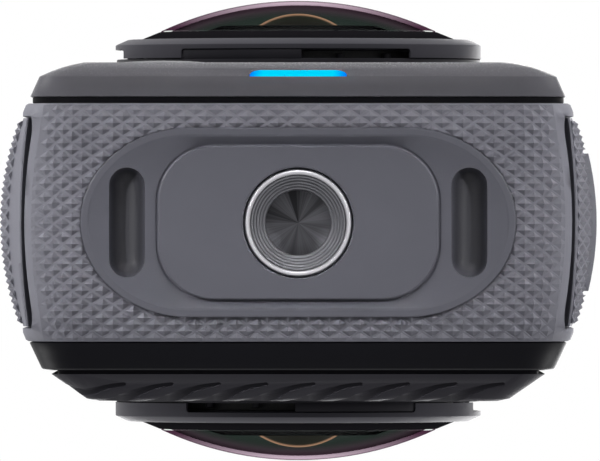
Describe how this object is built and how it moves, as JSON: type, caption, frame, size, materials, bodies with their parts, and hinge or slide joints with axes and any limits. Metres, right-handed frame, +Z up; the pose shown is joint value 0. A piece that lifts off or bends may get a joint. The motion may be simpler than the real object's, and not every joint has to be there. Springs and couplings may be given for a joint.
{
  "type": "360 degree camera",
  "caption": "Upright slim camera with a fisheye lens on each broad side, touchscreen, side battery with latch, port door, buttons and a tripod thread in its base.",
  "frame": {"origin": "centre of the body's overall box, on the plane the base stands on", "axes": "+Z up along the body, -Y out of the touchscreen side, +Y out of the ribbed side, +X out of the battery side"},
  "size_m": [0.046, 0.0382, 0.1245],
  "materials": {
    "grip_rubber": "diamond-textured soft grip, satin",
    "front_metal": "bead-blasted dark grey metal, satin",
    "status_light": "translucent light guide, lit blue",
    "rear_shell": "fine matt black",
    "ribbed_panel": "satin black",
    "base_shell": "fine matt dark grey",
    "turned_metal": "turned and bevelled",
    "inner_frame": "moulded black",
    "side_piece": "diamond-textured, satin",
    "latch_plastic": "smooth satin",
    "button_plastic": "smooth satin",
    "steel": "stamped, bright",
    "contact_metal": "gold plated",
    "mesh_metal": "woven mesh, black",
    "seal_rubber": "matt black",
    "circuit_board": "solder mask",
    "cell_wrap": "smooth matt",
    "copper_foil": "rolled copper",
    "inner_plastic": "moulded black",
    "screen_glass": "black glass, polished",
    "display": "unlit display",
    "lens_base_black": "anodised black, satin",
    "lens_ring_black": "anodised black, satin",
    "retainer_black": "black, semi-gloss",
    "dome_glass": "coated, polished",
    "element_glass": "coated, polished",
    "sensor_glass": "polished"
  },
  "bodies": {
    "body": {"antenna": "contact_metal", "base_inlay": "base_shell", "battery_contacts": "contact_metal", "card_socket": "steel", "chassis": "inner_frame", "display_panel": "display", "front_cover": "front_metal", "front_fisheye_element": "element_glass", "front_image_sensor": "sensor_glass", "front_inner_lens_group": "element_glass", "front_lens_baffle": "retainer_black", "front_lens_barrel": "lens_base_black", "front_lens_base": "lens_base_black", "front_lens_seal": "seal_rubber", "front_sensor_board": "circuit_board", "front_switch_board": "circuit_board", "grip_band": "grip_rubber", "heat_spreader": "copper_foil", "main_board": "circuit_board", "mic_meshes": "mesh_metal", "microphones": "steel", "rear_cover": "rear_shell", "rear_fisheye_element": "element_glass", "rear_image_sensor": "sensor_glass", "rear_inner_lens_group": "element_glass", "rear_lens_baffle": "retainer_black", "rear_lens_barrel": "lens_base_black", "rear_lens_base": "lens_base_black", "rear_lens_seal": "seal_rubber", "rear_ribbed_panel": "ribbed_panel", "rear_sensor_board": "circuit_board", "side_panel": "side_piece", "side_switch_board": "circuit_board", "speaker": "inner_plastic", "status_light_guide": "status_light", "thread_insert": "turned_metal", "touchscreen_glass": "screen_glass", "usb_connector": "steel", "usb_door_pin": "steel"},
    "shutter_button": {"shutter_button": "button_plastic"},
    "lens_button": {"lens_button": "button_plastic"},
    "power_button": {"power_button": "button_plastic"},
    "quick_button": {"quick_button": "button_plastic"},
    "usb_door": {"usb_door": "side_piece", "usb_door_seal": "seal_rubber"},
    "battery": {"battery_cell": "cell_wrap", "battery_cover": "side_piece", "battery_seal": "seal_rubber"},
    "battery_latch": {"battery_latch": "latch_plastic"},
    "front_lens": {"front_lens_ring": "lens_ring_black", "front_retaining_ring": "retainer_black", "front_cover_glass": "dome_glass"},
    "rear_lens": {"rear_lens_ring": "lens_ring_black", "rear_retaining_ring": "retainer_black", "rear_cover_glass": "dome_glass"}
  },
  "joints": [
    {"name": "shutter_button_press", "type": "slide", "parent": "body", "child": "shutter_button", "axis": [0, 1, 0], "range_m": [0, 0.0003], "stiffness_N_per_m": 1500},
    {"name": "lens_button_press", "type": "slide", "parent": "body", "child": "lens_button", "axis": [0, 1, 0], "range_m": [0, 0.0003], "stiffness_N_per_m": 1500},
    {"name": "power_button_press", "type": "slide", "parent": "body", "child": "power_button", "axis": [1, 0, 0], "range_m": [0, 0.0004], "stiffness_N_per_m": 1500},
    {"name": "quick_button_press", "type": "slide", "parent": "body", "child": "quick_button", "axis": [1, 0, 0], "range_m": [0, 0.0004], "stiffness_N_per_m": 1500},
    {"name": "usb_door_hinge", "type": "hinge", "parent": "body", "child": "usb_door", "pos_m": [-0.0216, -0.00064, 0.038], "axis": [0, 1, 0], "range_deg": [0, 90]},
    {"name": "battery_slide", "type": "slide", "parent": "body", "child": "battery", "axis": [1, 0, 0], "range_m": [0, 0.036]},
    {"name": "battery_latch_slide", "type": "slide", "parent": "battery", "child": "battery_latch", "axis": [0, 0, 1], "range_m": [-0.0015, 0]},
    {"name": "front_lens_twist", "type": "hinge", "parent": "body", "child": "front_lens", "pos_m": [0, -0.0142, 0.104], "axis": [0, 1, 0], "range_deg": [0, 36]},
    {"name": "rear_lens_twist", "type": "hinge", "parent": "body", "child": "rear_lens", "pos_m": [0, 0.0142, 0.104], "axis": [0, -1, 0], "range_deg": [0, 36]}
  ]
}
